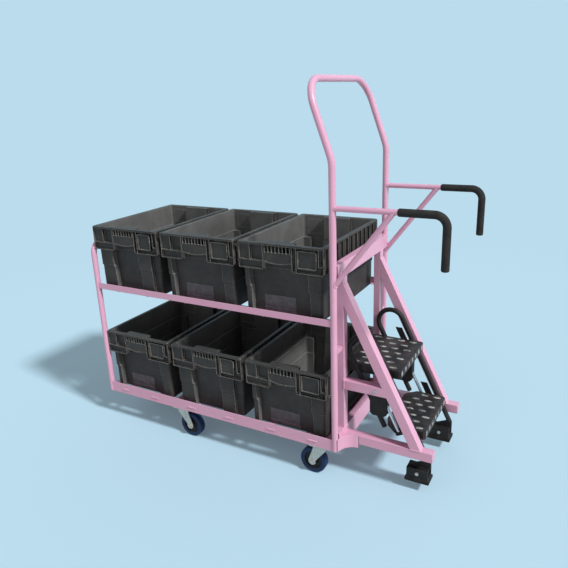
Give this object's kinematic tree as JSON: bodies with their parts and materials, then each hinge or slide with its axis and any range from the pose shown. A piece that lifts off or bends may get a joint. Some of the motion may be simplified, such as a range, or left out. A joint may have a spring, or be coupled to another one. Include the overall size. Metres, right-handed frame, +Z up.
{
  "type": "order picking trolley",
  "caption": "Tube-framed order picking trolley with shelves of stacking totes, a tall push hoop, padded grab handles, swivel castors and a spring-return step unit at the handle end.",
  "frame": {"origin": "centre of the bounding box on the floor, under the castors", "axes": "+X towards the handle and step end, +Y to the side away from the picture's camera, +Z up"},
  "size_m": [1.758, 0.618, 1.69],
  "materials": {
    "pink_paint": "satin powder coat",
    "black_paint": "matt powder coat",
    "foam": "closed-cell foam sleeve",
    "foot_rubber": "moulded rubber",
    "guide_plastic": "moulded block",
    "zinc": "zinc plated",
    "bright_steel": "polished rod",
    "blue_tyre": "elastic rubber",
    "hub_plastic": "moulded wheel centre",
    "tote_plastic": "moulded, worn at the edges"
  },
  "bodies": {
    "frame": {"left_hoop": "pink_paint", "push_hoop": "pink_paint", "upper_front_rail": "pink_paint", "upper_back_rail": "pink_paint", "lower_front_lip": "pink_paint", "lower_back_lip": "pink_paint", "lower_front_box": "pink_paint", "lower_back_box": "pink_paint", "upper_shelf_bars": "pink_paint", "lower_shelf_bars": "pink_paint", "left_end_bar": "pink_paint", "end_beam": "pink_paint", "castor_bearers": "pink_paint", "step_posts": "pink_paint", "step_bottom_bars": "pink_paint", "step_diagonals": "pink_paint", "step_mid_struts": "pink_paint", "top_cross_beam": "pink_paint", "corner_gussets": "pink_paint", "spacer_tabs": "pink_paint", "bar_caps": "pink_paint", "handle_tubes": "pink_paint", "handle_braces": "pink_paint", "handle_grips": "foam", "step_guides": "guide_plastic", "castor_plates": "zinc", "guide_bolts": "zinc"},
    "step_unit": {"step_side_tubes": "black_paint", "upper_tread": "black_paint", "lower_tread": "black_paint", "tread_tabs": "black_paint", "rod_lugs": "black_paint", "return_rods": "bright_steel", "foot_pads": "foot_rubber", "foot_brackets": "black_paint", "foot_bolts": "zinc"},
    "castor_handle_near": {"fork_handle_near": "zinc"},
    "wheel_handle_near": {"tyre_handle_near": "blue_tyre", "hub_handle_near": "hub_plastic"},
    "castor_handle_far": {"fork_handle_far": "zinc"},
    "wheel_handle_far": {"tyre_handle_far": "blue_tyre", "hub_handle_far": "hub_plastic"},
    "castor_free_near": {"fork_free_near": "zinc"},
    "wheel_free_near": {"tyre_free_near": "blue_tyre", "hub_free_near": "hub_plastic"},
    "castor_free_far": {"fork_free_far": "zinc"},
    "wheel_free_far": {"tyre_free_far": "blue_tyre", "hub_free_far": "hub_plastic"},
    "tote_upper_1": {"tote_upper_1": "tote_plastic"},
    "tote_upper_2": {"tote_upper_2": "tote_plastic"},
    "tote_upper_3": {"tote_upper_3": "tote_plastic"},
    "tote_lower_1": {"tote_lower_1": "tote_plastic"},
    "tote_lower_2": {"tote_lower_2": "tote_plastic"},
    "tote_lower_3": {"tote_lower_3": "tote_plastic"}
  },
  "joints": [
    {"name": "step_drop", "type": "slide", "parent": "frame", "child": "step_unit", "axis": [0.4462, 0, -0.8949], "range_m": [0, 0.0445], "stiffness_N_per_m": 2500, "springref_m": -0.06},
    {"name": "swivel_handle_near", "type": "hinge", "parent": "frame", "child": "castor_handle_near", "pos_m": [0.358, -0.264, 0.151], "axis": [0, 0, 1], "continuous": true},
    {"name": "roll_handle_near", "type": "hinge", "parent": "castor_handle_near", "child": "wheel_handle_near", "pos_m": [0.318, -0.264, 0.0625], "axis": [0, 1, 0], "continuous": true},
    {"name": "swivel_handle_far", "type": "hinge", "parent": "frame", "child": "castor_handle_far", "pos_m": [0.358, 0.264, 0.151], "axis": [0, 0, 1], "continuous": true},
    {"name": "roll_handle_far", "type": "hinge", "parent": "castor_handle_far", "child": "wheel_handle_far", "pos_m": [0.318, 0.264, 0.0625], "axis": [0, 1, 0], "continuous": true},
    {"name": "swivel_free_near", "type": "hinge", "parent": "frame", "child": "castor_free_near", "pos_m": [-0.403, -0.264, 0.151], "axis": [0, 0, 1], "continuous": true},
    {"name": "roll_free_near", "type": "hinge", "parent": "castor_free_near", "child": "wheel_free_near", "pos_m": [-0.363, -0.264, 0.0625], "axis": [0, 1, 0], "continuous": true},
    {"name": "swivel_free_far", "type": "hinge", "parent": "frame", "child": "castor_free_far", "pos_m": [-0.403, 0.264, 0.151], "axis": [0, 0, 1], "continuous": true},
    {"name": "roll_free_far", "type": "hinge", "parent": "castor_free_far", "child": "wheel_free_far", "pos_m": [-0.363, 0.264, 0.0625], "axis": [0, 1, 0], "continuous": true},
    {"name": "lift_tote_upper_1", "type": "slide", "parent": "frame", "child": "tote_upper_1", "axis": [0, 0, 1], "range_m": [0, 0.35]},
    {"name": "lift_tote_upper_2", "type": "slide", "parent": "frame", "child": "tote_upper_2", "axis": [0, 0, 1], "range_m": [0, 0.35]},
    {"name": "lift_tote_upper_3", "type": "slide", "parent": "frame", "child": "tote_upper_3", "axis": [0, 0, 1], "range_m": [0, 0.35]},
    {"name": "lift_tote_lower_1", "type": "slide", "parent": "frame", "child": "tote_lower_1", "axis": [0, 0, 1], "range_m": [0, 0.19]},
    {"name": "lift_tote_lower_2", "type": "slide", "parent": "frame", "child": "tote_lower_2", "axis": [0, 0, 1], "range_m": [0, 0.19]},
    {"name": "lift_tote_lower_3", "type": "slide", "parent": "frame", "child": "tote_lower_3", "axis": [0, 0, 1], "range_m": [0, 0.19]}
  ]
}
